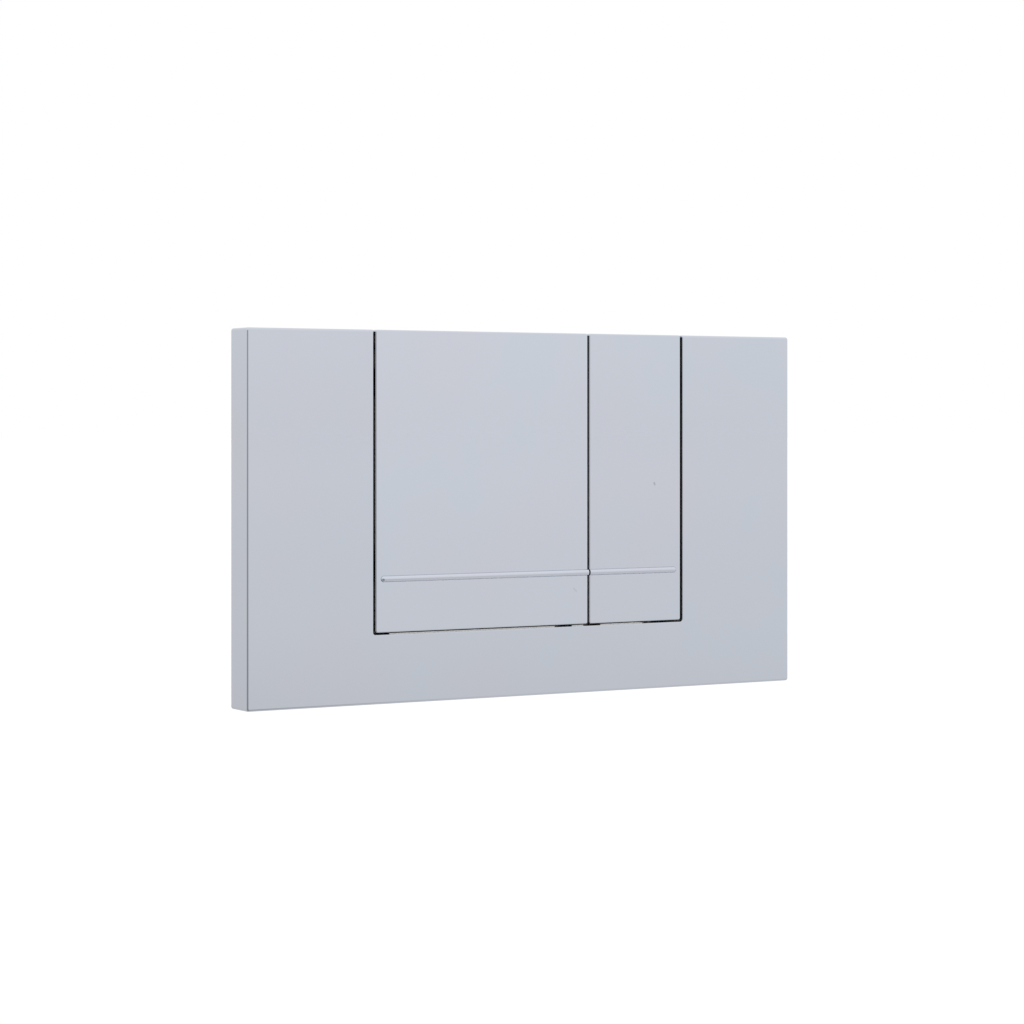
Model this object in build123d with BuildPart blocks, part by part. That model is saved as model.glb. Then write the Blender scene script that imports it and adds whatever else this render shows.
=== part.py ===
from build123d import *
from math import cos, pi, sin
import os

# Dual-flush button plate for a concealed cistern, with the frame and rods behind it.
# X is right, Z is up. The plate's rim lies on the wall in the plane Y = 0, its front faces -Y,
# and the origin is the middle of that rim. All lengths are in millimetres.

# Face plate
plate_width = 253.0
plate_height = 145.0
plate_depth = 13.3
plate_wall = 2.4
plate_corner_radius = 1.1
plate_edge_radius = 0.9
plate_rib_wall = 1.4
plate_rib_height = 3.4
plate_rib_pitch = 22.0

# U-shaped opening for the buttons, with a collar that returns behind the front wall
opening_width = 144.6
opening_corner_radius = 1.0
opening_edge_radius = 0.3
lower_band = 26.9
collar_wall = 1.8
collar_depth = 6.0

# Buttons
half_button_width = 44.6
side_gap = 1.0
button_gap = 0.7
floor_gap = 0.75
button_wall = 2.4
button_corner_radius = 0.8
button_edge_radius = 0.5
skirt_wall = 1.8
head_depth = 4.0
head_gap = 0.6
stiffener_wall = 1.2
stiffener_setback = 1.0
stiffener_pitch = 30.0

# Raised half-round bar across both buttons, which shows where to press
bar_radius = 1.3
bar_sink = 0.25
bar_rise = 20.85
bar_inset = 2.2

# Hinge under the top edge
hinge_drop = 6.5
pin_radius = 1.5
pin_clearance = 0.05
pin_head_radius = 2.6
pin_head_height = 0.8
lug_radius = 3.2
lug_bevel = 1.4
lug_width = 5.0
button_lug_width = 6.0
button_lug_inset = 3.0
centre_lug_width = 8.0
lug_wall_clearance = 0.3
lug_side_gap = 1.4
skirt_lug_gap = 0.8
pin_end_gap = 0.4
push_nut_width = 6.0
push_nut_thickness = 0.6
push_nut_gap = 0.05

# Stops below the buttons
tongue_width = 7.0
tongue_thickness = 2.0
tongue_inset = 3.0
tongue_overlap = 2.2
tongue_root = 3.4
buffer_thickness = 1.35
buffer_margin = 0.6
buffer_gap = 0.05

# Mounting frame on the wall
frame_standoff = 0.5
frame_web = 2.2
frame_rim = 4.5
frame_rim_wall = 2.0
frame_corner_bevel = 3.0
frame_side_room = 6.1
frame_floor_room = 4.1
frame_lug_gap = 4.8
frame_top_flange = 11.0
frame_rib_wall = 1.6
frame_rib_pitch = 22.0
window_side_margin = 3.5
window_floor_margin = 3.4
window_corner_bevel = 2.5
duct_wall = 2.0
sill_height = 7.5
sill_wall = 1.8
wing_cutout_width = 20.0
wing_cutout_height = 15.0
wing_cutout_rise = 33.0

# Snap fastening between plate and frame
snap_length = 14.0
snap_spacing = 68.0
snap_thickness = 2.0
snap_gap = 0.3
snap_side_clearance = 1.5
hook_reach = 2.7
hook_land = 0.6
hook_back_room = 0.6

# Studs, washers and nuts that fix the frame
stud_spacing = 184.0
stud_radius = 4.0
stud_neck_radius = 3.0
stud_collar_flats = 13.0
stud_collar_height = 1.6
stud_length = 55.0
stud_tip_gap = 0.7
stud_chamfer = 0.8
slot_width = 6.6
slot_length = 16.0
slot_boss_wall = 5.0
washer_width = 16.0
washer_thickness = 1.2
washer_clearance = 0.3
nut_flats = 13.0
nut_height = 4.0
nut_chamfer = 0.8
thread_clearance = 0.05

# Push rods, their caps, lock nuts and springs
rod_spacing = 80.0
rod_drop = 86.0
rod_radius = 3.0
rod_length = 66.5
rod_tip_radius = 2.6
rod_tip_length = 30.0
rod_stroke = 7.5
rod_grip = 4.4
pad_width = 10.0
pad_proud = 0.3
cap_clearance = 0.2
cap_flats = 11.4
cap_length = 7.0
cap_nose_flats = 4.0
cap_nose_height = 1.1
wire_diameter = 0.9
spring_radius = 4.9
spring_turns = 5
spring_steps = 12
spring_reserve = 2.0
spring_seat_gap = 0.05
guide_width = 14.0
guide_length = 12.0
guide_clearance = 0.1
beam_height = 14.0
beam_depth = 8.0
beam_wall = 1.8
lock_nut_gap = 0.2
lock_nut_height = 3.0
lock_nut_flats = 10.0

# How far a joined feature reaches into the wall that carries it
root_bite = 0.5

# Places worked out from the sizes above
front = -plate_depth
front_inside = front + plate_wall
button_inside = front + button_wall
top = plate_height / 2
inner_half_width = plate_width / 2 - plate_wall
inner_half_height = plate_height / 2 - plate_wall
opening_half = opening_width / 2
opening_floor = -top + lower_band
collar_back = front + collar_depth
collar_half = opening_half + collar_wall
collar_floor = opening_floor - collar_wall
head_back = front + head_depth
bridge_front = head_back + head_gap

hinge_y = -lug_wall_clearance - lug_radius
hinge_z = top - hinge_drop
skirt_back = hinge_y - lug_radius - skirt_lug_gap
shoulder = inner_half_height - head_gap

full_left = -opening_half + side_gap
half_right = opening_half - side_gap
half_left = half_right - half_button_width
full_right = half_left - button_gap
middle_gap = (full_right + half_left) / 2
button_foot = opening_floor + floor_gap
bar_z = button_foot + bar_rise

rod_z = hinge_z - rod_drop
full_rod_x = -rod_spacing / 2
half_rod_x = rod_spacing / 2
pad_back = skirt_back + pad_proud
cap_front = pad_back + cap_clearance
cap_back = cap_front + cap_length
spring_length = spring_turns * wire_diameter + rod_stroke + spring_reserve
guide_front = cap_back + spring_length
guide_back = guide_front + guide_length
rod_front = cap_back - rod_grip
rod_back = rod_front + rod_length
lock_nut_front = guide_back + lock_nut_gap

buffer_front = collar_back + buffer_gap
tongue_front = buffer_front + buffer_thickness
tongue_back = tongue_front + tongue_thickness
tongue_foot = collar_floor - tongue_overlap

frame_back = -frame_standoff
frame_front = frame_back - frame_rim
frame_half_width = inner_half_width - frame_side_room
frame_floor = -inner_half_height + frame_floor_room
frame_top = hinge_z - lug_radius - frame_lug_gap
frame_middle = (frame_floor + frame_top) / 2
window_half = opening_half + window_side_margin
window_floor = tongue_foot - window_floor_margin
window_top = frame_top - frame_top_flange
window_middle = (window_floor + window_top) / 2
duct_back = guide_front + beam_depth
wing_middle = (window_half + duct_wall + frame_half_width) / 2

stud_x = stud_spacing / 2
stud_z = frame_middle
stud_tip = front_inside + stud_tip_gap
washer_front = frame_front - washer_thickness

snap_back = frame_back - frame_web + snap_gap
snap_tip = inner_half_width - snap_side_clearance
snap_heights = (frame_middle - snap_spacing / 2, frame_middle + snap_spacing / 2)


def facing_plane(y):
    """A plane parallel to the wall at depth y, drawn as seen from the front."""
    return Plane.XZ.offset(-y)


def axial_plane(x, z):
    """A plane for turned profiles: across is the radius, up is Y along the axis at x, z."""
    return Plane(origin=(x, 0, z), x_dir=(1, 0, 0), z_dir=(0, 0, 1))


def axial_axis(x, z):
    return Axis((x, 0, z), (0, 1, 0))


def span(left, right, low, high, mode=Mode.ADD):
    """A rectangle between these limits in the current sketch."""
    with Locations(((left + right) / 2, (low + high) / 2)):
        Rectangle(right - left, high - low, mode=mode)


def bevelled_rectangle(width, height, bevel):
    """A rectangle with its four corners cut off, at the current place in the sketch."""
    side, end = width / 2, height / 2
    Polygon(
        (side, end - bevel),
        (side - bevel, end),
        (bevel - side, end),
        (-side, end - bevel),
        (-side, bevel - end),
        (bevel - side, -end),
        (side - bevel, -end),
        (side, bevel - end),
    )


def wanted_copies(length, pitch):
    return max(1, int(length // pitch))


# Face plate: a moulded tray, open at the back and through its top edge
with BuildPart() as face_plate:
    with BuildSketch(Plane.XZ):
        RectangleRounded(plate_width, plate_height, plate_corner_radius)
    extrude(amount=plate_depth)
    fillet(face_plate.faces().sort_by(Axis.Y)[0].edges(), plate_edge_radius)
    with BuildSketch(Plane.XZ):
        Rectangle(2 * inner_half_width, 2 * inner_half_height)
    extrude(amount=plate_depth - plate_wall, mode=Mode.SUBTRACT)

    # Collar block behind the front wall, then the opening through both
    with BuildSketch(facing_plane(collar_back)):
        span(-collar_half, collar_half, collar_floor, inner_half_height + root_bite)
    extrude(amount=collar_depth - plate_wall + root_bite)
    with BuildSketch(facing_plane(collar_back)) as opening_outline:
        span(-opening_half, opening_half, opening_floor, inner_half_height)
        fillet(opening_outline.vertices().group_by(Axis.Y)[0], opening_corner_radius)
    extrude(amount=collar_depth, mode=Mode.SUBTRACT)
    with BuildSketch(facing_plane(bridge_front)):
        span(-opening_half, opening_half, shoulder, top + plate_wall)
    extrude(amount=bridge_front - front, mode=Mode.SUBTRACT)
    front_edges = face_plate.faces().sort_by(Axis.Y)[0].edges()
    above_band = front_edges.filter_by_position(Axis.Z, -top + lower_band / 2, top)
    fillet(above_band.filter_by_position(Axis.X, -collar_half, collar_half), opening_edge_radius)

    # Stiffening ribs on the back of the side panels and of the lower band
    with BuildSketch(facing_plane(front_inside + plate_rib_height)):
        for panel in (-1, 1):
            panel_middle = panel * (collar_half + inner_half_width) / 2
            with Locations((panel_middle, stud_z)):
                for side in (-1, 1):
                    with Locations((0, side * plate_rib_pitch), (0, side * 2 * plate_rib_pitch)):
                        Rectangle(inner_half_width - collar_half + 2 * root_bite, plate_rib_wall)
        band_pitch = 2 * plate_rib_pitch
        with Locations((0, (collar_floor - inner_half_height) / 2)):
            with GridLocations(band_pitch, 0, wanted_copies(opening_width, band_pitch), 1):
                Rectangle(plate_rib_wall, collar_floor + inner_half_height + 2 * root_bite)
    extrude(amount=plate_rib_height + root_bite)

    # Lugs that hang from the top wall and hold the hinge pins
    for lug_left, lug_length in (
        (-collar_half - lug_width, lug_width),
        (middle_gap - centre_lug_width / 2, centre_lug_width),
        (collar_half, lug_width),
    ):
        with BuildSketch(Plane.YZ.offset(lug_left)):
            span(
                hinge_y - lug_radius,
                hinge_y + lug_radius,
                hinge_z - lug_radius,
                inner_half_height + root_bite,
            )
            with Locations((hinge_y, hinge_z)):
                Circle(pin_radius + pin_clearance, mode=Mode.SUBTRACT)
        extrude(amount=lug_length)

    # Hooks inside the side walls that snap behind the frame's tongues
    for snap_z in snap_heights:
        for side in (-1, 1):
            with BuildSketch(Plane.XY.offset(snap_z - snap_length / 2)):
                with BuildLine():
                    Polyline(
                        (side * (inner_half_width + root_bite), snap_back + snap_gap),
                        (side * (inner_half_width - hook_reach), snap_back + snap_gap),
                        (side * (inner_half_width - hook_reach), snap_back + snap_gap + hook_land),
                        (side * (inner_half_width + root_bite), -hook_back_room),
                        close=True,
                    )
                make_face()
            extrude(amount=snap_length)


def flush_button(left, right, rod_x, rounded_end):
    """A moulded tray button; rounded_end is -1 or 1, the side where its bar stops short."""
    with BuildPart() as button:
        with BuildSketch(Plane.YZ.offset(left)):
            with BuildLine():
                Polyline(
                    (front, button_foot),
                    (front, top),
                    (head_back, top),
                    (head_back, shoulder),
                    (skirt_back, shoulder),
                    (skirt_back, button_foot),
                    close=True,
                )
            make_face()
        extrude(amount=right - left)
        corners = button.edges().filter_by(Axis.Y).group_by(Axis.Z)
        fillet(corners[0] + corners[-1], button_corner_radius)
        fillet(button.faces().sort_by(Axis.Y)[0].edges(), button_edge_radius)

        # Hollow back with a grid of stiffeners
        inner_left = left + skirt_wall
        inner_right = right - skirt_wall
        inner_foot = button_foot + skirt_wall
        inner_top = shoulder - skirt_wall
        with BuildSketch(facing_plane(skirt_back)):
            span(inner_left, inner_right, inner_foot, inner_top)
        extrude(amount=skirt_back - button_inside, mode=Mode.SUBTRACT)
        stiffener_back = skirt_back - stiffener_setback
        columns = wanted_copies(inner_right - inner_left, stiffener_pitch)
        rows = wanted_copies(inner_top - inner_foot, stiffener_pitch)
        with BuildSketch(facing_plane(stiffener_back)):
            with Locations(((inner_left + inner_right) / 2, (inner_foot + inner_top) / 2)):
                with GridLocations(stiffener_pitch, 0, columns, 1):
                    Rectangle(stiffener_wall, inner_top - inner_foot + 2 * root_bite)
                with GridLocations(0, stiffener_pitch, 1, rows):
                    Rectangle(inner_right - inner_left + 2 * root_bite, stiffener_wall)
        extrude(amount=stiffener_back - button_inside + root_bite)

        # Pad that presses the rod's cap
        with BuildSketch(facing_plane(pad_back)):
            with Locations((rod_x, rod_z)):
                Rectangle(pad_width, pad_width)
        extrude(amount=pad_back - button_inside + root_bite)

        # Hinge lugs at both ends of the top
        for lug_left in button_lug_places(left, right):
            with BuildSketch(Plane.YZ.offset(lug_left)) as lug_outline:
                span(
                    button_inside - root_bite,
                    hinge_y + lug_radius,
                    hinge_z - lug_radius,
                    hinge_z + lug_radius,
                )
                chamfer(lug_outline.vertices().group_by(Axis.X)[-1], lug_bevel)
                with Locations((hinge_y, hinge_z)):
                    Circle(pin_radius + pin_clearance, mode=Mode.SUBTRACT)
            extrude(amount=button_lug_width)
            with BuildSketch(Plane.YZ.offset(lug_left)):
                with Locations((hinge_y, hinge_z)):
                    Circle(pin_radius + pin_clearance)
            extrude(amount=button_lug_width, mode=Mode.SUBTRACT)

        # Stop tongues that reach behind the lower collar
        for tongue_left in tongue_places(left, right):
            with BuildSketch(Plane.YZ.offset(tongue_left)):
                with BuildLine():
                    Polyline(
                        (skirt_back - skirt_wall, button_foot),
                        (skirt_back - skirt_wall, button_foot + tongue_root),
                        (tongue_back, button_foot + tongue_root),
                        (tongue_back, tongue_foot),
                        (tongue_front, tongue_foot),
                        (tongue_front, button_foot),
                        close=True,
                    )
                make_face()
            extrude(amount=tongue_width)

        # Half-round bar on the front, with one ball end
        if rounded_end < 0:
            bar_end = left + bar_inset + bar_radius
            bar_start, bar_stop = bar_end, right
        else:
            bar_end = right - bar_inset - bar_radius
            bar_start, bar_stop = left, bar_end
        with BuildSketch(Plane.YZ.offset(bar_start)):
            with Locations((front + bar_sink, bar_z)):
                Circle(bar_radius)
        extrude(amount=bar_stop - bar_start)
        with Locations((bar_end, front + bar_sink, bar_z)):
            Sphere(bar_radius)
    return button.part


def button_lug_places(left, right):
    """Left edges of a button's two hinge lugs, clear of the plate's lug beside the middle gap."""
    inner_edge = centre_lug_width / 2 + lug_side_gap
    low = max(left + button_lug_inset, middle_gap + inner_edge if left > middle_gap else left)
    high = min(right - button_lug_inset, middle_gap - inner_edge if right < middle_gap else right)
    return low, high - button_lug_width


def tongue_places(left, right):
    return left + tongue_inset, right - tongue_inset - tongue_width


def stop_buffers(left, right):
    """Rubber pads on the front of a button's stop tongues."""
    with BuildPart() as buffers:
        with BuildSketch(facing_plane(tongue_front)):
            for tongue_left in tongue_places(left, right):
                span(
                    tongue_left + buffer_margin,
                    tongue_left + tongue_width - buffer_margin,
                    tongue_foot + buffer_margin,
                    button_foot - buffer_margin,
                )
        extrude(amount=buffer_thickness)
    return buffers.part


def hinge_pin(outer_end, inner_end):
    """A headed steel pin from outside the plate's lug to the middle lug."""
    inward = 1 if inner_end > outer_end else -1
    pin_plane = Plane(origin=(outer_end, hinge_y, hinge_z), x_dir=(0, 0, 1), z_dir=(inward, 0, 0))
    with BuildPart() as pin:
        with BuildSketch(pin_plane.offset(-pin_head_height)):
            Circle(pin_head_radius)
        extrude(amount=pin_head_height)
        with BuildSketch(pin_plane):
            Circle(pin_radius)
        extrude(amount=abs(inner_end - outer_end))
    return pin.part


full_button = flush_button(full_left, full_right, full_rod_x, -1)
half_button = flush_button(half_left, half_right, half_rod_x, 1)
full_buffers = stop_buffers(full_left, full_right)
half_buffers = stop_buffers(half_left, half_right)
full_pin = hinge_pin(-collar_half - lug_width, middle_gap - pin_end_gap / 2)
half_pin = hinge_pin(collar_half + lug_width, middle_gap + pin_end_gap / 2)

# Flat push nuts that grip both hinge pins inside the plate's outer lugs
with BuildPart() as hinge_push_nuts:
    with BuildSketch(Plane.YZ.offset(collar_half - push_nut_gap - push_nut_thickness)):
        with Locations((hinge_y, hinge_z)):
            Rectangle(push_nut_width, push_nut_width)
            Circle(pin_radius + pin_clearance, mode=Mode.SUBTRACT)
    extrude(amount=push_nut_thickness)
    mirror(about=Plane.YZ)

# Mounting frame: a flanged duct moulded in one piece with the rods' guides
with BuildPart() as mounting_frame:
    with BuildSketch(facing_plane(frame_back)):
        with Locations((0, frame_middle)):
            bevelled_rectangle(2 * frame_half_width, frame_top - frame_floor, frame_corner_bevel)
    extrude(amount=frame_web)
    with BuildSketch(facing_plane(frame_back)):
        with Locations((0, frame_middle)):
            bevelled_rectangle(2 * frame_half_width, frame_top - frame_floor, frame_corner_bevel)
            Rectangle(
                2 * (frame_half_width - frame_rim_wall),
                frame_top - frame_floor - 2 * frame_rim_wall,
                mode=Mode.SUBTRACT,
            )
    extrude(amount=frame_rim)

    # Ribs and stud bosses on both wings
    with BuildSketch(facing_plane(frame_back)):
        for side in (-1, 1):
            with Locations((side * wing_middle, stud_z)):
                with Locations((0, -frame_rib_pitch), (0, frame_rib_pitch)):
                    Rectangle(frame_half_width - window_half, frame_rib_wall)
            with Locations((side * stud_x, stud_z)):
                Rectangle(slot_width + 2 * slot_boss_wall, slot_length + 2 * slot_boss_wall)
    extrude(amount=frame_rim)
    with BuildSketch(facing_plane(frame_back)):
        for side in (-1, 1):
            with Locations((side * stud_x, stud_z)):
                SlotOverall(slot_length, slot_width, rotation=90)
            with Locations((side * wing_middle, stud_z)):
                with Locations((0, -wing_cutout_rise), (0, wing_cutout_rise)):
                    Rectangle(wing_cutout_width, wing_cutout_height)
    extrude(amount=frame_rim, mode=Mode.SUBTRACT)

    # Duct around the window, reaching back into the wall
    with BuildSketch(facing_plane(duct_back)):
        with Locations((0, window_middle)):
            bevelled_rectangle(
                2 * (window_half + duct_wall),
                window_top - window_floor + 2 * duct_wall,
                window_corner_bevel + duct_wall,
            )
    extrude(amount=duct_back - frame_front)
    with BuildSketch(facing_plane(duct_back)):
        with Locations((0, window_middle)):
            bevelled_rectangle(2 * window_half, window_top - window_floor, window_corner_bevel)
    extrude(amount=duct_back - frame_front, mode=Mode.SUBTRACT)

    # Sill across the foot of the duct's back
    with BuildSketch(facing_plane(duct_back)):
        span(
            -window_half - root_bite,
            window_half + root_bite,
            window_floor - root_bite,
            window_floor + sill_height,
        )
    extrude(amount=sill_wall)

    # Cross beam: a channel open to the front, with the rods' guide blocks through it
    with BuildSketch(facing_plane(duct_back)):
        span(
            -window_half - root_bite,
            window_half + root_bite,
            rod_z - beam_height / 2,
            rod_z + beam_height / 2,
        )
    extrude(amount=beam_depth)
    with BuildSketch(facing_plane(duct_back - beam_wall)):
        span(
            -window_half,
            window_half,
            rod_z - beam_height / 2 + beam_wall,
            rod_z + beam_height / 2 - beam_wall,
        )
    extrude(amount=beam_depth, mode=Mode.SUBTRACT)
    with BuildSketch(facing_plane(guide_back)):
        with Locations((full_rod_x, rod_z), (half_rod_x, rod_z)):
            Rectangle(guide_width, guide_width)
    extrude(amount=guide_length)
    with BuildSketch(facing_plane(guide_back)):
        with Locations((full_rod_x, rod_z), (half_rod_x, rod_z)):
            Circle(rod_radius + guide_clearance)
    extrude(amount=guide_length, mode=Mode.SUBTRACT)

    # Tongues that the plate's hooks snap over
    with BuildSketch(facing_plane(snap_back)):
        for snap_z in snap_heights:
            for side in (-1, 1):
                snap_middle = side * (frame_half_width - frame_rim_wall + snap_tip) / 2
                with Locations((snap_middle, snap_z)):
                    Rectangle(snap_tip - frame_half_width + frame_rim_wall, snap_length)
    extrude(amount=snap_thickness)

# Shouldered studs: the thick shank goes into the wall box, the neck holds the frame
with BuildPart() as fixing_studs:
    with BuildSketch(axial_plane(stud_x, stud_z)) as stud_section:
        span(0, stud_neck_radius, stud_tip, frame_back + root_bite)
        span(0, stud_radius, frame_back + root_bite, stud_length)
        tips = stud_section.vertices().filter_by(lambda v: v.X > root_bite).group_by(Axis.Y)
        chamfer(tips[-1], stud_chamfer)
    revolve(axis=axial_axis(stud_x, stud_z))
    with BuildSketch(facing_plane(frame_back + stud_collar_height)):
        with Locations((stud_x, stud_z)):
            RegularPolygon(stud_collar_flats / 2, 6, major_radius=False)
    extrude(amount=stud_collar_height)
    mirror(about=Plane.YZ)

with BuildPart() as fixing_washers:
    with BuildSketch(facing_plane(frame_front)):
        with Locations((stud_x, stud_z)):
            Rectangle(washer_width, washer_width)
            Circle(stud_neck_radius + washer_clearance, mode=Mode.SUBTRACT)
    extrude(amount=washer_thickness)
    mirror(about=Plane.YZ)


def hexagon_nut(x, z, back, flats, height, bore):
    """A hexagon nut whose back face lies at depth back, with its front corners bevelled."""
    with BuildPart() as nut:
        with BuildSketch(facing_plane(back)):
            with Locations((x, z)):
                RegularPolygon(flats / 2, 6, major_radius=False)
        extrude(amount=height)
        chamfer(nut.faces().sort_by(Axis.Y)[0].edges(), nut_chamfer)
        with BuildSketch(facing_plane(back)):
            with Locations((x, z)):
                Circle(bore)
        extrude(amount=height, mode=Mode.SUBTRACT)
    return nut.part


neck_bore = stud_neck_radius + thread_clearance
with BuildPart() as fixing_nuts:
    add(hexagon_nut(stud_x, stud_z, washer_front, nut_flats, nut_height, neck_bore))
    mirror(about=Plane.YZ)


def push_rod(x):
    """A threaded rod with a plain, thinner tip that meets the cistern's lever."""
    with BuildPart() as rod:
        with BuildSketch(axial_plane(x, rod_z)):
            span(0, rod_radius, rod_front, rod_back - rod_tip_length)
            span(0, rod_tip_radius, rod_back - rod_tip_length, rod_back)
        revolve(axis=axial_axis(x, rod_z))
    return rod.part


def rod_cap(x):
    """A hexagon cap screwed on the rod; its blunt nose lets the button's pad roll as it swings."""
    with BuildPart() as cap:
        with BuildSketch(facing_plane(cap_back)):
            with Locations((x, rod_z)):
                RegularPolygon(cap_flats / 2, 6, major_radius=False)
        extrude(amount=cap_length)
        nose = cap.faces().sort_by(Axis.Y)[0]
        nose_slope = (cap_flats - cap_nose_flats) / 2
        chamfer(nose.edges(), nose_slope, cap_nose_height, reference=nose)
        with BuildSketch(facing_plane(cap_back)):
            with Locations((x, rod_z)):
                Circle(rod_radius + thread_clearance)
        extrude(amount=cap_back - rod_front, mode=Mode.SUBTRACT)
    return cap.part


def return_spring(x):
    """A coil between the cap and the guide's end, its wire and turns drawn in flat steps."""
    coil_front = cap_back + spring_seat_gap + wire_diameter / 2
    coil_back = guide_front - spring_seat_gap - wire_diameter / 2
    step_count = spring_turns * spring_steps
    with BuildPart() as spring:
        with BuildLine() as coil:
            coil_points = []
            for step in range(step_count + 1):
                angle = 2 * pi * step / spring_steps
                coil_points.append(
                    (
                        x + spring_radius * cos(angle),
                        coil_front + (coil_back - coil_front) * step / step_count,
                        rod_z + spring_radius * sin(angle),
                    )
                )
            Polyline(*coil_points)
        with BuildSketch(Plane(origin=coil.line @ 0, z_dir=coil.line % 0)):
            RegularPolygon(wire_diameter / 2, 6)
        sweep(transition=Transition.RIGHT)
    return spring.part


def lock_nut(x):
    """A hexagon nut on the rod behind its guide, which sets how far the spring pushes the rod out."""
    lock_nut_back = lock_nut_front + lock_nut_height
    bore = rod_radius + thread_clearance
    return hexagon_nut(x, rod_z, lock_nut_back, lock_nut_flats, lock_nut_height, bore)


pieces = {
    "face_plate": face_plate.part,
    "full_flush_button": full_button,
    "half_flush_button": half_button,
    "full_flush_buffers": full_buffers,
    "half_flush_buffers": half_buffers,
    "full_flush_hinge_pin": full_pin,
    "half_flush_hinge_pin": half_pin,
    "hinge_push_nuts": hinge_push_nuts.part,
    "mounting_frame": mounting_frame.part,
    "fixing_studs": fixing_studs.part,
    "fixing_washers": fixing_washers.part,
    "fixing_nuts": fixing_nuts.part,
    "full_flush_push_rod": push_rod(full_rod_x),
    "half_flush_push_rod": push_rod(half_rod_x),
    "full_flush_rod_cap": rod_cap(full_rod_x),
    "half_flush_rod_cap": rod_cap(half_rod_x),
    "full_flush_spring": return_spring(full_rod_x),
    "half_flush_spring": return_spring(half_rod_x),
    "full_flush_lock_nut": lock_nut(full_rod_x),
    "half_flush_lock_nut": lock_nut(half_rod_x),
}

os.makedirs("parts", exist_ok=True)
for name, piece in pieces.items():
    piece.label = name
    export_step(piece, f"parts/{name}.step")
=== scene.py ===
import bpy
from math import ceil, cos, pi, radians, sin
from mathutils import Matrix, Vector


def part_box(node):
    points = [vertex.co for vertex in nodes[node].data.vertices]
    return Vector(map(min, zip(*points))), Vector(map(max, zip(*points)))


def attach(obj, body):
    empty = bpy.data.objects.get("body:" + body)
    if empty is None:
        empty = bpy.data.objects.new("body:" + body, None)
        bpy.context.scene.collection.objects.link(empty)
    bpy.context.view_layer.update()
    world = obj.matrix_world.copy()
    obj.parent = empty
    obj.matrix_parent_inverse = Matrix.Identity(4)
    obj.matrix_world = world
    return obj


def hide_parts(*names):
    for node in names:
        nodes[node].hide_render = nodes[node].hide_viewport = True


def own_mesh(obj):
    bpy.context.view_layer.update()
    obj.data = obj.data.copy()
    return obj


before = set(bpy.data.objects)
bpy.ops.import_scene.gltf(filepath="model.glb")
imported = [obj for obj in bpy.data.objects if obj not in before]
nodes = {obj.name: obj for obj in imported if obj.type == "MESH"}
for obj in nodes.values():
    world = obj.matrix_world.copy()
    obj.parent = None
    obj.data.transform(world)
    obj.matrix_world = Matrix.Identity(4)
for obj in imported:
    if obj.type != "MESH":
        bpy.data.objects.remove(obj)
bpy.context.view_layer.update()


# Mounting frame: one black ABS moulding with a flange, a deep duct and a beam that guides the rods.
# It is fixed to the wall box by two studs, and the chromed plate snaps on to its side tongues.
# The mould leaves a fine matt grain, soft edges and the round marks of ejector pins.
def feed(owner, value, socket):
    """Gives a socket a constant or another socket's value."""
    if isinstance(value, bpy.types.NodeSocket):
        owner.node_tree.links.new(value, socket)
    else:
        socket.default_value = value


def add_node(owner, kind, **inputs):
    """A node of this kind in a finish, with its inputs fed by name."""
    made = owner.node_tree.nodes.new(kind)
    for name, value in inputs.items():
        feed(owner, value, made.inputs[name.replace("_", " ")])
    return made


def shader_of(finish):
    """The inputs of a finish's one shader."""
    return finish.node_tree.nodes["Principled BSDF"].inputs


def new_finish(name, **constants):
    """A material with one Principled shader, and with these constants set on that shader."""
    finish = bpy.data.materials.new(name)
    finish.use_nodes = True
    for label, value in constants.items():
        shader_of(finish)[label.replace("_", " ")].default_value = value
    return finish


def place_on(finish):
    """Where a point lies on the piece, in metres."""
    return add_node(finish, "ShaderNodeTexCoord").outputs["Object"]


def along_axis(owner, vector, axis):
    """One coordinate of a place or a direction."""
    return add_node(owner, "ShaderNodeSeparateXYZ", Vector=vector).outputs[axis]


def calculate(owner, operation, *numbers):
    """A number worked out from numbers, each a constant or a socket."""
    made = add_node(owner, "ShaderNodeMath")
    made.operation = operation
    for number, socket in zip(numbers, made.inputs):
        feed(owner, number, socket)
    return made.outputs["Value"]


def measure(owner, operation, *vectors, gives="Value"):
    """A number, or a vector where gives says so, worked out from places or directions."""
    made = add_node(owner, "ShaderNodeVectorMath")
    made.operation = operation
    for vector, socket in zip(vectors, made.inputs):
        feed(owner, vector, socket)
    return made.outputs[gives]


def rescale(owner, number, old, new=(0.0, 1.0), fade="LINEAR"):
    """Carries a number from an old range to a new one, and holds it at the new one's ends."""
    made = add_node(owner, "ShaderNodeMapRange", Value=number)
    made.interpolation_type = fade
    limits = (("From Min", old[0]), ("From Max", old[1]), ("To Min", new[0]), ("To Max", new[1]))
    for name, limit in limits:
        made.inputs[name].default_value = limit
    return made.outputs["Result"]


grain_sharpness = 0.55
grain_span = (0.3, 0.7)


def grain(finish, size, detail=3.0, stretch=(1, 1, 1)):
    """A noise whose blotches are about this many metres across, fixed to the piece."""
    stretched = add_node(finish, "ShaderNodeMapping", Vector=place_on(finish), Scale=stretch)
    noise = add_node(finish, "ShaderNodeTexNoise", Vector=stretched.outputs["Vector"])
    noise.inputs["Scale"].default_value = 1 / size
    noise.inputs["Detail"].default_value = detail
    noise.inputs["Roughness"].default_value = grain_sharpness
    return noise.outputs["Fac"]


def vary_colour(finish, amount, first, second):
    """Lets the grain carry the colour between two near shades."""
    ramp = add_node(finish, "ShaderNodeValToRGB", Fac=amount)
    for stop, position, shade in zip(ramp.color_ramp.elements, grain_span, (first, second)):
        stop.position = position
        stop.color = (*shade, 1)
    feed(finish, ramp.outputs["Color"], shader_of(finish)["Base Color"])


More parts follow.
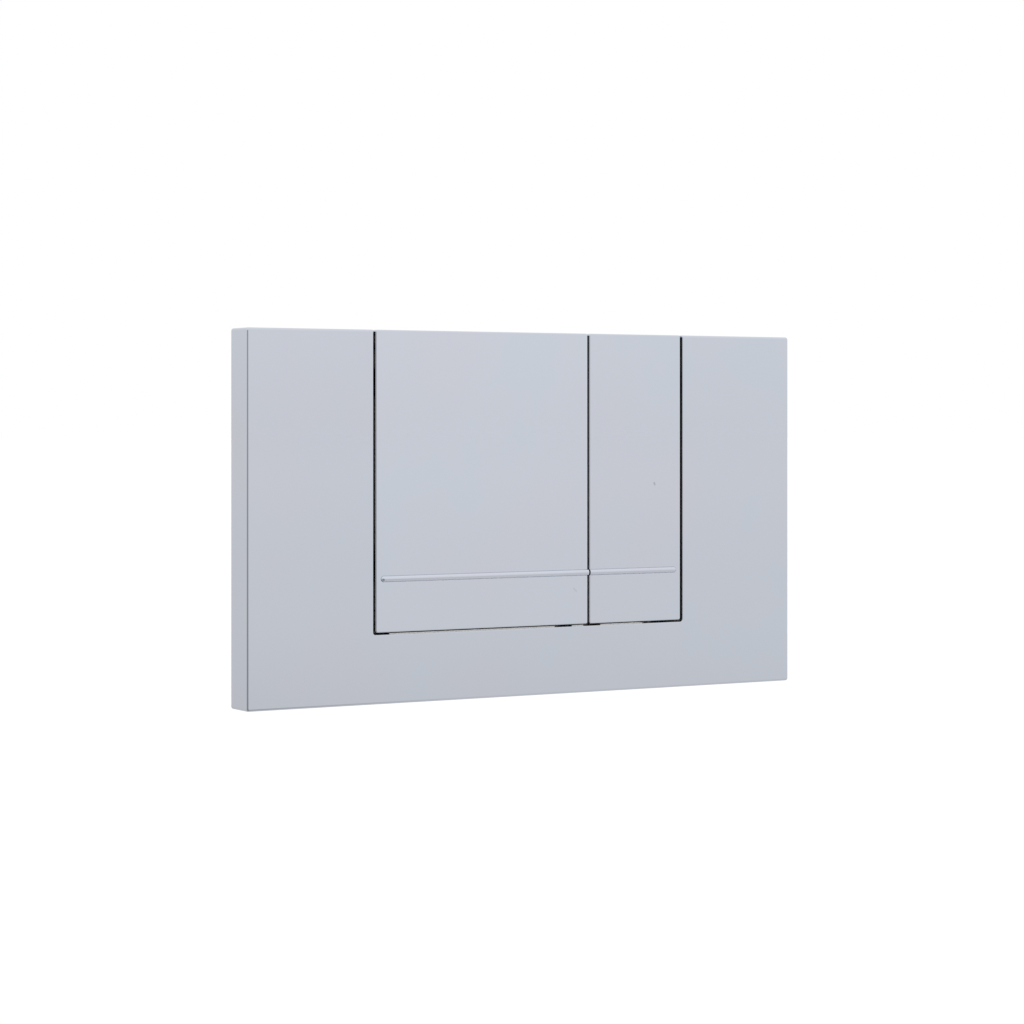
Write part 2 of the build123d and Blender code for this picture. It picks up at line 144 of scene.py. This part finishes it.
def vary_gloss(finish, amount, smooth, rough):
    """Lets the grain carry the roughness between two limits."""
    feed(finish, rescale(finish, amount, grain_span, (smooth, rough)), shader_of(finish)["Roughness"])


def emboss(finish, amount, height):
    """Raises the surface by up to this many metres where the amount is high, over any other relief."""
    normal = shader_of(finish)["Normal"]
    bump = add_node(finish, "ShaderNodeBump", Height=amount, Strength=1.0, Distance=height)
    for under in normal.links:
        feed(finish, under.from_socket, bump.inputs["Normal"])
    feed(finish, bump.outputs["Normal"], normal)


def dress(node, finish):
    """Gives a piece of the frame its finish."""
    mesh = nodes[node].data
    mesh.materials.clear()
    mesh.materials.append(finish)


def soften_edges(node, radius):
    """Rounds the sharp edges of a piece as moulding or tumbling does."""
    same_point = 1e-6
    same_face = radians(1)
    sharp_edge = radians(40)
    weld = nodes[node].modifiers.new("join_faces", "WELD")
    weld.merge_threshold = same_point
    flatten = nodes[node].modifiers.new("flat_faces", "DECIMATE")
    flatten.decimate_type = "DISSOLVE"
    flatten.angle_limit = same_face
    bevel = nodes[node].modifiers.new("soft_edges", "BEVEL")
    bevel.width = radius
    bevel.segments = 2
    bevel.limit_method = "ANGLE"
    bevel.angle_limit = sharp_edge
    bevel.harden_normals = True


pin_radius = 0.0025
pin_rim = 0.0003
pin_mark_depth = 0.00012
upper_side_pins = ((0.113, 0.050), (0.087, 0.050), (0.113, 0.008))
lower_side_pins = ((0.113, -0.016), (0.087, -0.058), (0.113, -0.058))
top_pins = ((0.030, 0.0545), (0.062, 0.0545))
bottom_pins = ((0.030, -0.061), (0.062, -0.061))
beam_pins = ((0.014, -0.0204), (0.065, -0.0204))


def ejector_marks(finish, places):
    """A mask of round marks at these places from the middle, on both sides of it."""
    place = place_on(finish)
    from_middle = calculate(finish, "ABSOLUTE", along_axis(finish, place, "X"))
    flat = add_node(finish, "ShaderNodeCombineXYZ", X=from_middle, Z=along_axis(finish, place, "Z"))
    mask = 0.0
    for x, z in places:
        apart = measure(finish, "DISTANCE", flat.outputs["Vector"], (x, 0, z))
        disc = rescale(finish, apart, (pin_radius, pin_radius - pin_rim))
        mask = calculate(finish, "MAXIMUM", mask, disc)
    return mask


black_abs = new_finish("black_abs", Specular_IOR_Level=0.4)
vary_colour(
    black_abs,
    grain(black_abs, size=0.03),
    first=(0.012, 0.012, 0.013),
    second=(0.021, 0.021, 0.022),
)
vary_gloss(black_abs, grain(black_abs, size=0.012), smooth=0.42, rough=0.6)
all_pins = upper_side_pins + lower_side_pins + top_pins + bottom_pins + beam_pins
emboss(black_abs, ejector_marks(black_abs, all_pins), height=-pin_mark_depth)
emboss(black_abs, grain(black_abs, size=0.0007), height=0.00006)
dress("mounting_frame", black_abs)
soften_edges("mounting_frame", radius=0.0003)


# Fixing studs: turned steel with a threaded shank for the wall box, a hexagon shoulder and a thinner
# threaded neck that passes the frame's slot. They are zinc plated and clear passivated.
def add_piece(name, verts, faces, finish, sharp_edge):
    """An object with this mesh and finish, smooth but for its edges that are sharper than this angle."""
    mesh = bpy.data.meshes.new(name)
    mesh.from_pydata(verts, [], faces)
    mesh.polygons.foreach_set("use_smooth", [True] * len(faces))
    mesh.set_sharp_from_angle(angle=sharp_edge)
    mesh.materials.append(finish)
    piece = bpy.data.objects.new(name, mesh)
    bpy.context.scene.collection.objects.link(piece)
    return piece


def turned_piece(name, x, z, rows, finish):
    """A closed piece about an axis along Y, from rows of a depth and a radius that goes by the angle."""
    around = 48
    verts = []
    for y, radius in rows:
        for step in range(around):
            angle = 2 * pi * step / around
            verts.append((x + radius(angle) * cos(angle), y, z + radius(angle) * sin(angle)))
    faces = [tuple(range(around)), tuple(range(len(verts) - 1, len(verts) - 1 - around, -1))]
    for row in range(len(rows) - 1):
        for step in range(around):
            a = row * around + step
            b = row * around + (step + 1) % around
            faces.append((a, a + around, b + around, b))
    return add_piece(name, verts, faces, finish, sharp_edge=radians(25))


def thread_rows(start, end, crest, pitch, lead_in=0.0):
    """Rows of a screw thread with flat crests, tapered over lead_in at its far end."""
    rows_per_turn = 10
    root_depth = 0.61 * pitch
    half_crest = 0.08
    flank_width = 0.32
    count = ceil((end - start) / pitch * rows_per_turn)

    def row(y):
        limit = crest - max(0.0, y - (end - lead_in))

        def radius(angle):
            phase = (y / pitch - angle / (2 * pi)) % 1.0
            flank = min(1.0, max(0.0, (abs(phase - 0.5) - half_crest) / flank_width))
            return min(limit, crest - root_depth * flank)

        return y, radius

    return [row(start + (end - start) * step / count) for step in range(count + 1)]


def hexagon_rows(start, end, flats, bevel):
    """Rows of a hexagon whose corners are bevelled at both faces, as turned hexagons are."""
    steps = 6
    bevel_slope = 1.7

    def row(y):
        rim = flats / 2 + bevel_slope * min(y - start, end - y)
        return y, lambda angle: min(rim, flats / 2 / cos((angle + pi / 6) % (pi / 3) - pi / 6))

    near = [start + bevel * step / steps for step in range(steps + 1)]
    far = [end - bevel * (steps - step) / steps for step in range(steps + 1)]
    return [row(y) for y in near + far]


zinc = new_finish("zinc_plating", Metallic=1.0)
vary_colour(zinc, grain(zinc, size=0.006), first=(0.50, 0.53, 0.58), second=(0.60, 0.61, 0.62))
vary_gloss(zinc, grain(zinc, size=0.0015), smooth=0.22, rough=0.38)
emboss(zinc, grain(zinc, size=0.0004), height=0.000006)

stud_axis_x = 0.092
stud_axis_z = -0.004
shoulder_start = -0.0005
shoulder_end = 0.0011
stud_low, stud_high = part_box("fixing_studs")
neck = thread_rows(stud_low.y, shoulder_start, crest=0.003, pitch=0.001)
shoulder = hexagon_rows(shoulder_start, shoulder_end, flats=0.013, bevel=0.0005)
shank = thread_rows(shoulder_end, stud_high.y, crest=0.004, pitch=0.00125, lead_in=0.0008)
for side, x in (("left", -stud_axis_x), ("right", stud_axis_x)):
    stud = turned_piece(f"fixing_stud_{side}", x, stud_axis_z, neck + shoulder + shank, zinc)
    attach(stud, "plate")
    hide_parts("fixing_studs")


# Fixing washers: square plates stamped from zinc-plated strip, which bridge the frame's slots.
# They lie loose on the studs' necks, under the nuts.
dress("fixing_washers", zinc)
soften_edges("fixing_washers", radius=0.0002)


# Fixing nuts: hexagon nuts moulded in black nylon, spun down by hand against the washers.
# Nylon has a slightly waxy sheen.
black_nylon = new_finish("black_nylon")
vary_colour(
    black_nylon,
    grain(black_nylon, size=0.004),
    first=(0.017, 0.017, 0.018),
    second=(0.030, 0.030, 0.032),
)
vary_gloss(black_nylon, grain(black_nylon, size=0.002), smooth=0.32, rough=0.48)
emboss(black_nylon, grain(black_nylon, size=0.0006), height=0.00001)
dress("fixing_nuts", black_nylon)
soften_edges("fixing_nuts", radius=0.0003)


# Push rods: natural acetal, threaded from the cap to behind the guide, with a plain thinner tip.
# The tip meets the cistern's lift lever, and the thread sets the rod to the wall's thickness.
acetal = new_finish("natural_acetal", Subsurface_Weight=0.15, Subsurface_Scale=0.001)
vary_colour(acetal, grain(acetal, size=0.008), first=(0.68, 0.68, 0.63), second=(0.75, 0.75, 0.71))
vary_gloss(acetal, grain(acetal, size=0.003), smooth=0.3, rough=0.42)
emboss(acetal, grain(acetal, size=0.0008), height=0.000008)

rod_axis_x = 0.04
rod_axis_z = -0.02
rod_tip_length = 0.030
rod_tip_radius = 0.0026
rod_tip_bevel = 0.0004


def round_row(y, radius):
    """One row of a plain round length."""
    return y, lambda angle: radius


rod_low, rod_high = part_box("full_flush_push_rod")
tip_start = rod_high.y - rod_tip_length
rod_rows = thread_rows(rod_low.y, tip_start, crest=0.003, pitch=0.001) + [
    round_row(tip_start, rod_tip_radius),
    round_row(rod_high.y - rod_tip_bevel, rod_tip_radius),
    round_row(rod_high.y, rod_tip_radius - rod_tip_bevel),
]
for flush, x in (("full", -rod_axis_x), ("half", rod_axis_x)):
    rod = turned_piece(f"{flush}_flush_threaded_rod", x, rod_axis_z, rod_rows, acetal)
    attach(rod, f"{flush}_rod")
    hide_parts(f"{flush}_flush_push_rod")


# Return springs: coils of drawn spring steel with closed ends, pressed between cap and guide.
spring_steel = new_finish("spring_steel", Metallic=1.0)
vary_colour(
    spring_steel,
    grain(spring_steel, size=0.004),
    first=(0.30, 0.30, 0.31),
    second=(0.40, 0.39, 0.38),
)
vary_gloss(spring_steel, grain(spring_steel, size=0.0008), smooth=0.2, rough=0.34)

wire_radius = 0.00045
coil_radius = 0.0049
coil_turns = 5
closed_turns = 0.8
spring_front = 0.0001
spring_back = 0.0139


def coil_depth(turn):
    """Depth of the wire's middle after so many turns: tight at both ends, open between."""
    tight = 2 * wire_radius
    open_turns = coil_turns - 2 * closed_turns
    open_pitch = (spring_back - spring_front - tight * (1 + 2 * closed_turns)) / open_turns
    first = min(turn, closed_turns)
    middle = min(max(turn - closed_turns, 0), open_turns)
    last = max(turn - (coil_turns - closed_turns), 0)
    return spring_front + wire_radius + tight * (first + last) + open_pitch * middle


def wound_spring(name, x, z, finish):
    """A closed coil of round wire about an axis along Y."""
    steps_per_turn = 48
    around = 12
    along = Vector((0, 1, 0))
    verts = []
    faces = []
    for step in range(coil_turns * steps_per_turn + 1):
        turn = step / steps_per_turn
        outward = Vector((cos(2 * pi * turn), 0, sin(2 * pi * turn)))
        middle = Vector((x, coil_depth(turn), z)) + coil_radius * outward
        for part in range(around):
            angle = 2 * pi * part / around
            verts.append(middle + wire_radius * (cos(angle) * outward + sin(angle) * along))
    for step in range(coil_turns * steps_per_turn):
        for part in range(around):
            a = step * around + part
            b = step * around + (part + 1) % around
            faces.append((a, b, b + around, a + around))
    faces.append(tuple(range(around - 1, -1, -1)))
    faces.append(tuple(range(len(verts) - around, len(verts))))
    return add_piece(name, verts, faces, finish, sharp_edge=radians(50))


for flush, x in (("full", -rod_axis_x), ("half", rod_axis_x)):
    coil = wound_spring(f"{flush}_flush_coil", x, rod_axis_z, spring_steel)
    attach(coil, "plate")
    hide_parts(f"{flush}_flush_spring")
    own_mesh(coil)


# Rod caps: hexagons moulded in blue acetal, screwed on the rods' front ends.
# Their blunt noses let the buttons' pads roll on them as the buttons swing.
blue_acetal = new_finish("blue_acetal")
vary_colour(
    blue_acetal,
    grain(blue_acetal, size=0.006),
    first=(0.011, 0.040, 0.20),
    second=(0.016, 0.052, 0.25),
)
vary_gloss(blue_acetal, grain(blue_acetal, size=0.003), smooth=0.26, rough=0.4)
emboss(blue_acetal, grain(blue_acetal, size=0.0007), height=0.000008)
for flush in ("full", "half"):
    dress(f"{flush}_flush_rod_cap", blue_acetal)
    soften_edges(f"{flush}_flush_rod_cap", radius=0.00025)


# Lock nuts: hexagons moulded in black nylon, screwed on the rods behind the guides.
# They keep the rods in the frame, and set how far the springs push them forward.
for flush in ("full", "half"):
    dress(f"{flush}_flush_lock_nut", black_nylon)
    soften_edges(f"{flush}_flush_lock_nut", radius=0.0003)


# Face plate: an ABS tray moulded open at the back, then copper, nickel and chrome plated all over.
# Its polished face shows the faint long waves of the moulding and a slight change of tint. Chrome covers
# recesses poorly, so the tray shows dull, yellowish nickel inside. That nickel is painted far darker than
# nickel, as painted shade in the recesses, and the opening's floor gets less of it, so it is painted
# lighter.
plate_low, plate_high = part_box("face_plate")
plate_wall = 0.0024
bright_depth = 0.001
dull_depth = 0.0022
opening_floor = plate_low.z + 0.0269
opening_floor_band = (0.0001, 0.0003)
opening_floor_nickel_and_shade = 0.7
cool_chrome = (0.542, 0.582, 0.646)
warm_chrome = (0.562, 0.574, 0.636)
# Painted shade: this nickel is far darker than real nickel, so that the tray's recesses look shaded.
nickel_and_painted_shade = (0.19, 0.172, 0.145, 1)
nickel_roughness = 0.38


def nickel_and_shade_inside(finish):
    """Mask of nickel and painted shade: 0 on the outer faces, 1 in the tray, less on the opening's floor.
    """
    place = place_on(finish)
    across, depth, height = (along_axis(finish, place, axis) for axis in "XYZ")
    from_floor = calculate(finish, "ABSOLUTE", calculate(finish, "SUBTRACT", height, opening_floor))
    mask = rescale(finish, from_floor, opening_floor_band, (opening_floor_nickel_and_shade, 1.0))
    walls = (
        (calculate(finish, "ABSOLUTE", across), plate_high.x - plate_wall / 2, plate_high.x - plate_wall),
        (calculate(finish, "ABSOLUTE", height), plate_high.z - plate_wall / 2, plate_high.z - plate_wall),
        (depth, plate_low.y + bright_depth, plate_low.y + dull_depth),
    )
    for number, outside, inside in walls:
        mask = calculate(finish, "MULTIPLY", mask, rescale(finish, number, (outside, inside)))
    return mask


def blend(owner, factor, first, second, kind="RGBA"):
    """Mixes two colours or numbers, each a constant or a socket."""
    mix = add_node(owner, "ShaderNodeMix")
    mix.data_type = kind
    for name, value in (("Factor", factor), ("A", first), ("B", second)):
        feed(owner, value, mix.inputs[name])
    return mix.outputs["Result"]


def chrome_plating(name, tone, marks=()):
    """Bright chrome outside, and inside dull nickel darkened as painted shade; each mark lays a colour
    where its mask is high.
    """
    finish = new_finish(name, Metallic=1.0)
    colour = shader_of(finish)["Base Color"]
    roughness = shader_of(finish)["Roughness"]
    cool, warm = ([tone * part for part in shade] for shade in (cool_chrome, warm_chrome))
    vary_colour(finish, grain(finish, size=0.045, detail=2.0), first=cool, second=warm)
    vary_gloss(finish, grain(finish, size=0.01), smooth=0.025, rough=0.05)
    emboss(finish, grain(finish, size=0.02, detail=1.0), height=0.000004)
    for mask, mark_colour in marks:
        clean = colour.links[0].from_socket
        feed(finish, blend(finish, mask(finish), clean, (*mark_colour, 1)), colour)
    # Painted shade: the recess mask lays the darkened nickel inside the tray, with less of it on the
    # opening's floor.
    recess_nickel_and_shade = nickel_and_shade_inside(finish)
    feed(finish, blend(finish, recess_nickel_and_shade, colour.links[0].from_socket, nickel_and_painted_shade), colour)
    polished = roughness.links[0].from_socket
    feed(finish, blend(finish, recess_nickel_and_shade, polished, nickel_roughness, "FLOAT"), roughness)
    return finish


dress("face_plate", chrome_plating("plate_chrome", tone=0.995))


# Hinge pins: headed pins of drawn stainless steel, one for each button, pushed in from the sides.
# Drawing leaves fine lines along the pin.
stainless = new_finish("drawn_stainless", Metallic=1.0)
vary_colour(
    stainless,
    grain(stainless, size=0.006),
    first=(0.52, 0.51, 0.49),
    second=(0.60, 0.59, 0.57),
)
vary_gloss(stainless, grain(stainless, size=0.0006, stretch=(0.05, 1, 1)), smooth=0.18, rough=0.34)
emboss(stainless, grain(stainless, size=0.0003, stretch=(0.03, 1, 1)), height=0.000004)
for flush in ("full", "half"):
    dress(f"{flush}_flush_hinge_pin", stainless)
    soften_edges(f"{flush}_flush_hinge_pin", radius=0.0002)


# Push nuts: small plates stamped from spring steel.
# They are pushed over the hinge pins' ends, and grip them inside the plate's lugs.
dress("hinge_push_nuts", spring_steel)
soften_edges("hinge_push_nuts", radius=0.0001)


# Flush buttons: two chromed ABS trays that hang on the hinge pins, with a half-round bar to press.
# The small one has a dark speck in its plating, and the large one a faint rubbed patch.
button_front = plate_low.y
rub_colour = (0.50, 0.52, 0.56)
rub_spots = ((0.0194, -0.0304, 0.0005), (0.0199, -0.0310, 0.0005), (0.0205, -0.0314, 0.0004))
speck_colour = (0.41, 0.43, 0.47)
speck_spots = ((0.0583, 0.0117, 0.0006), (0.0585, 0.0112, 0.0006))


def spot(x, z, radius):
    """A round mask on the face of a button."""

    def mask(finish):
        apart = measure(finish, "DISTANCE", place_on(finish), (x, button_front, z))
        return rescale(finish, apart, (radius, radius / 2), fade="SMOOTHSTEP")

    return mask


rubs = [(spot(*place), rub_colour) for place in rub_spots]
speck = [(spot(*place), speck_colour) for place in speck_spots]
dress("full_flush_button", chrome_plating("full_button_chrome", tone=1.025, marks=rubs))
dress("half_flush_button", chrome_plating("half_button_chrome", tone=1.01, marks=speck))


# Buffers: pads of black rubber on the stop tongues, which quiet the buttons' return.
# Cut rubber is dull and slightly rough.
rubber = new_finish("buffer_rubber")
vary_colour(rubber, grain(rubber, size=0.003), first=(0.010, 0.010, 0.010), second=(0.020, 0.020, 0.019))
vary_gloss(rubber, grain(rubber, size=0.001), smooth=0.7, rough=0.88)
emboss(rubber, grain(rubber, size=0.0003), height=0.00003)
for flush in ("full", "half"):
    dress(f"{flush}_flush_buffers", rubber)
    soften_edges(f"{flush}_flush_buffers", radius=0.0003)


# Floor: a plain pale studio floor, well below the plate, which hangs as it does on its wall.
# A little light of its own makes it white to the camera, and fades towards the plate in the chrome.
# In the chrome its colour also carries painted shade: darker near the plate, below the camera and at the
# back.
camera_place = Vector((-0.5900, -0.9769, 0.0373))
floor_drop = 0.34
floor_reach = 60.0
floor_colour = (0.8, 0.8, 0.8, 1)
black = (0, 0, 0, 1)
white = (1, 1, 1, 1)
camera_glow = 0.24
glow_distances = (-15.0, 22.0)
glow_levels = (0.10, 0.195)
near_distances = (0.3, 4.5)
near_plate_shade_level = 0.9
dim_middle = Vector((camera_place.x, camera_place.y, -0.6)).normalized()
dim_edge = radians(58)
dim_core = radians(20)
dim_level = 0.4
back_level = 0.9


def room_shade(owner, direction):
    """How bright the room is this way: 1 at the front, dimmer at the back and about the camera."""
    to_middle = measure(owner, "DOT_PRODUCT", direction, dim_middle)
    dip = rescale(owner, to_middle, (cos(dim_edge), cos(dim_core)), (1.0, dim_level), "SMOOTHSTEP")
    backward = along_axis(owner, direction, "Y")
    back = rescale(owner, backward, (0.0, 1.0), (1.0, back_level), "SMOOTHSTEP")
    return calculate(owner, "MULTIPLY", dip, back)


floor_finish = new_finish("pale_floor", Roughness=0.9, Specular_IOR_Level=0.0, Emission_Color=white)
on_floor = place_on(floor_finish)
from_plate = measure(floor_finish, "ADD", on_floor, (0, 0, -floor_drop), gives="Vector")
bearing = measure(floor_finish, "NORMALIZE", from_plate, gives="Vector")
apart = measure(floor_finish, "LENGTH", on_floor)
rays = add_node(floor_finish, "ShaderNodeLightPath").outputs
# Painted shade: as seen in the chrome, the floor's colour darkens near the plate, below the camera and at
# the back.
painted_shade_near_plate = rescale(floor_finish, apart, near_distances, (near_plate_shade_level, 1.0), "SMOOTHSTEP")
far_shade = calculate(floor_finish, "MULTIPLY", room_shade(floor_finish, bearing), painted_shade_near_plate)
mirror_shade = blend(floor_finish, rays["Is Glossy Ray"], 1.0, far_shade, "FLOAT")
floor_tone = blend(floor_finish, mirror_shade, black, floor_colour)
feed(floor_finish, floor_tone, shader_of(floor_finish)["Base Color"])
glow = rescale(floor_finish, apart, glow_distances, glow_levels, "SMOOTHERSTEP")
shaded_glow = calculate(floor_finish, "MULTIPLY", mirror_shade, glow)
mirror_glow = calculate(floor_finish, "MULTIPLY", rays["Is Glossy Ray"], shaded_glow)
all_glow = calculate(floor_finish, "MULTIPLY_ADD", rays["Is Camera Ray"], camera_glow, mirror_glow)
feed(floor_finish, all_glow, shader_of(floor_finish)["Emission Strength"])
corners = [(sx * floor_reach, sy * floor_reach, 0) for sx, sy in ((-1, -1), (1, -1), (1, 1), (-1, 1))]
floor = add_piece("floor", corners, [(0, 1, 2, 3)], floor_finish, sharp_edge=radians(50))
floor.location = (0, 0, -floor_drop)


# Studio: a white room, a little brighter above, dimmer at the back and about the camera.
# Two soft lamps, one above the camera and one behind the plate, give the shadows.
room_levels = ((-5, 0.99), (0, 0.998), (2, 1.036), (25, 1.08), (90, 1.15))
room_light = (0.7, 0.7, 0.7, 1)
lamps = (("lamp_above", (-0.5, -0.8, 1.6), 0.8), ("lamp_behind", (0.7, 1.0, 1.0), 0.4))
lamp_spread = radians(30)

world = bpy.data.worlds.new("studio")
bpy.context.scene.world = world
world.use_nodes = True
direction = add_node(world, "ShaderNodeTexCoord").outputs["Generated"]
climb = rescale(world, along_axis(world, direction, "Z"), (-1.0, 1.0))
brightness = add_node(world, "ShaderNodeValToRGB", Fac=climb)
stops = brightness.color_ramp.elements
while len(stops) < len(room_levels):
    stops.new(0.5)
for stop, (elevation, level) in zip(stops, room_levels):
    stop.position = (sin(radians(elevation)) + 1) / 2
    stop.color = (level, level, level, 1)
mirrored = blend(world, room_shade(world, direction), black, brightness.outputs["Color"])
rays = add_node(world, "ShaderNodeLightPath").outputs
lit = blend(world, rays["Is Glossy Ray"], room_light, mirrored)
seen = blend(world, rays["Is Camera Ray"], lit, white)
feed(world, seen, world.node_tree.nodes["Background"].inputs["Color"])

for name, place, power in lamps:
    lamp = bpy.data.lights.new(name, "SUN")
    lamp.angle = lamp_spread
    lamp.energy = power
    stand = bpy.data.objects.new(name, lamp)
    stand.location = place
    stand.rotation_mode = "QUATERNION"
    stand.rotation_quaternion = (-Vector(place)).to_track_quat("-Z", "Y")
    stand.visible_glossy = False
    bpy.context.scene.collection.objects.link(stand)


# Camera: a long lens at the photograph's place, level with the plate and to its left.
# Its shift lowers the frame, so that the plate's upright edges stay upright.
camera_data = bpy.data.cameras.new("camera")
camera_data.sensor_width = 36.0
camera_data.lens = 99.40
camera_data.shift_y = -0.0892
camera_data.clip_start = 0.05
camera_data.clip_end = 60.0
camera = bpy.data.objects.new("camera", camera_data)
aim = Vector((-0.00130, 0.00083, camera_place.z))
camera.location = camera_place
camera.rotation_mode = "QUATERNION"
camera.rotation_quaternion = (aim - camera_place).to_track_quat("-Z", "Y")
bpy.context.scene.collection.objects.link(camera)
bpy.context.scene.camera = camera
bpy.context.scene.view_settings.view_transform = "Standard"
